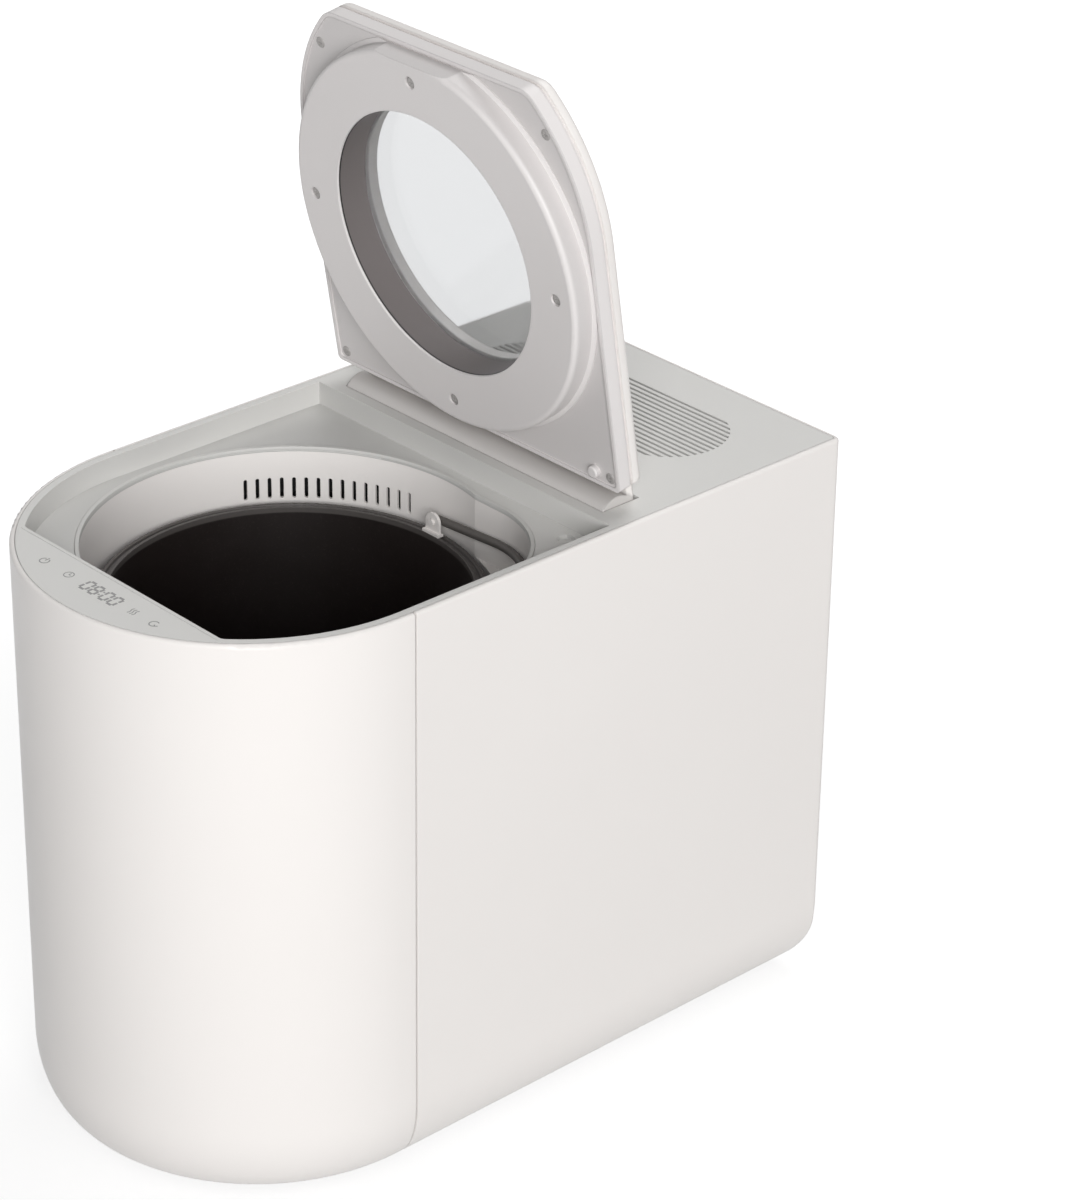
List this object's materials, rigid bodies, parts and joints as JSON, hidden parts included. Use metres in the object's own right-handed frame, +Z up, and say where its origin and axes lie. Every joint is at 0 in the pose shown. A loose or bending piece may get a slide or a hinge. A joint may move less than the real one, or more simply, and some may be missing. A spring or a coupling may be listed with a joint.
{
  "type": "food waste composter",
  "caption": "Electric kitchen composter: round nose, hinged lid with a round window, lift-out bucket with a folding bail, motor-driven paddle, exhaust fan and carbon filter.",
  "frame": {"origin": "on the floor, under the middle of the body", "axes": "+Z up, -Y to the round nose with the control panel, +X to the side"},
  "size_m": [0.23, 0.402, 0.5308],
  "materials": {
    "shell_white": "satin moulded",
    "base_grey": "matt moulded",
    "rubber_grey": "matt",
    "rubber_black": "matt",
    "screw_steel": "zinc plated",
    "frame_grey": "satin moulded",
    "panel_grey": "satin film",
    "display_glass": "smoked",
    "board_green": "solder mask",
    "seal_grey": "soft",
    "liner_grey": "satin moulded",
    "aluminium": "cast",
    "heater_dark": "oxidised",
    "gear_case": "glass filled",
    "bronze": "sintered",
    "gear_steel": "machined",
    "shaft_steel": "ground",
    "gear_plastic": "acetal",
    "motor_steel": "pressed can",
    "duct_black": "moulded",
    "carbon": "granular block",
    "component_dark": "moulded",
    "lid_grey": "satin moulded",
    "sleeve_dark": "satin moulded",
    "glass": "tempered",
    "nonstick": "non-stick coating",
    "handle_dark": "powder coated",
    "paddle_metal": "non-stick coating"
  },
  "bodies": {
    "base": {"front_shell": "shell_white", "rear_shell": "shell_white", "base_plate": "base_grey", "feet": "rubber_grey", "base_screws": "screw_steel", "top_frame": "frame_grey", "control_panel": "panel_grey", "display": "display_glass", "touch_board": "board_green", "chamber_seal": "seal_grey", "chamber_liner": "liner_grey", "heating_plate": "aluminium", "heater_element": "heater_dark", "thermostat": "base_grey", "shaft_seal": "rubber_black", "gearbox_base": "gear_case", "gearbox_cover": "gear_case", "shaft_bushes": "bronze", "gearbox_screws": "screw_steel", "motor": "motor_steel", "exhaust_duct": "duct_black", "fan_housing": "duct_black", "air_box": "duct_black", "filter_frame": "duct_black", "carbon_filter": "carbon", "power_inlet": "duct_black", "inlet_pins": "bronze", "board_posts": "duct_black", "power_board": "board_green", "board_components": "component_dark", "hinge_pins": "shaft_steel", "lid_sensor": "duct_black"},
    "lid": {"lid_cover": "shell_white", "lid_plate": "lid_grey", "lid_boss": "lid_grey", "window_sleeve": "sleeve_dark", "window_glass": "glass", "boss_screws": "screw_steel", "lid_screws": "screw_steel", "lid_magnet": "lid_grey"},
    "bucket": {"bucket": "nonstick", "bucket_bushing": "bronze", "bail_brackets": "liner_grey"},
    "handle": {"bucket_handle": "handle_dark"},
    "paddle": {"stirring_paddle": "paddle_metal"},
    "drive": {"output_shaft": "shaft_steel", "output_gear": "gear_steel"},
    "lay": {"layshaft": "shaft_steel", "lay_gear": "gear_plastic"},
    "rotor": {"motor_pinion": "gear_steel"},
    "fan": {"fan_rotor": "duct_black"}
  },
  "joints": [
    {"name": "lid_hinge", "type": "hinge", "parent": "base", "child": "lid", "pos_m": [0, 0.064, 0.306], "axis": [-1, 0, 0], "range_deg": [-80.7, 14.3]},
    {"name": "bucket_lift", "type": "slide", "parent": "base", "child": "bucket", "axis": [0, 0, 1], "range_m": [0, 0.08]},
    {"name": "handle_hinge", "type": "hinge", "parent": "bucket", "child": "handle", "pos_m": [0, -0.0627, 0.2795], "axis": [0, -1, 0], "range_deg": [0, 91]},
    {"name": "paddle_spin", "type": "hinge", "parent": "bucket", "child": "paddle", "pos_m": [0, -0.0627, 0.12], "axis": [0, 0, 1], "continuous": true},
    {"name": "drive_spin", "type": "hinge", "parent": "base", "child": "drive", "pos_m": [0, -0.0627, 0.05], "axis": [0, 0, 1], "continuous": true},
    {"name": "lay_spin", "type": "hinge", "parent": "base", "child": "lay", "pos_m": [0, -0.0177, 0.04], "axis": [0, 0, 1], "continuous": true},
    {"name": "rotor_spin", "type": "hinge", "parent": "base", "child": "rotor", "pos_m": [0, 0.0183, 0.05], "axis": [0, 0, 1], "continuous": true},
    {"name": "fan_spin", "type": "hinge", "parent": "base", "child": "fan", "pos_m": [0, 0.138, 0.16], "axis": [0, 0, 1], "continuous": true}
  ],
  "couplings": [
    {"joint": "drive_spin", "follows": "paddle_spin", "ratio": 1},
    {"joint": "lay_spin", "follows": "paddle_spin", "ratio": -3},
    {"joint": "rotor_spin", "follows": "paddle_spin", "ratio": 9}
  ]
}
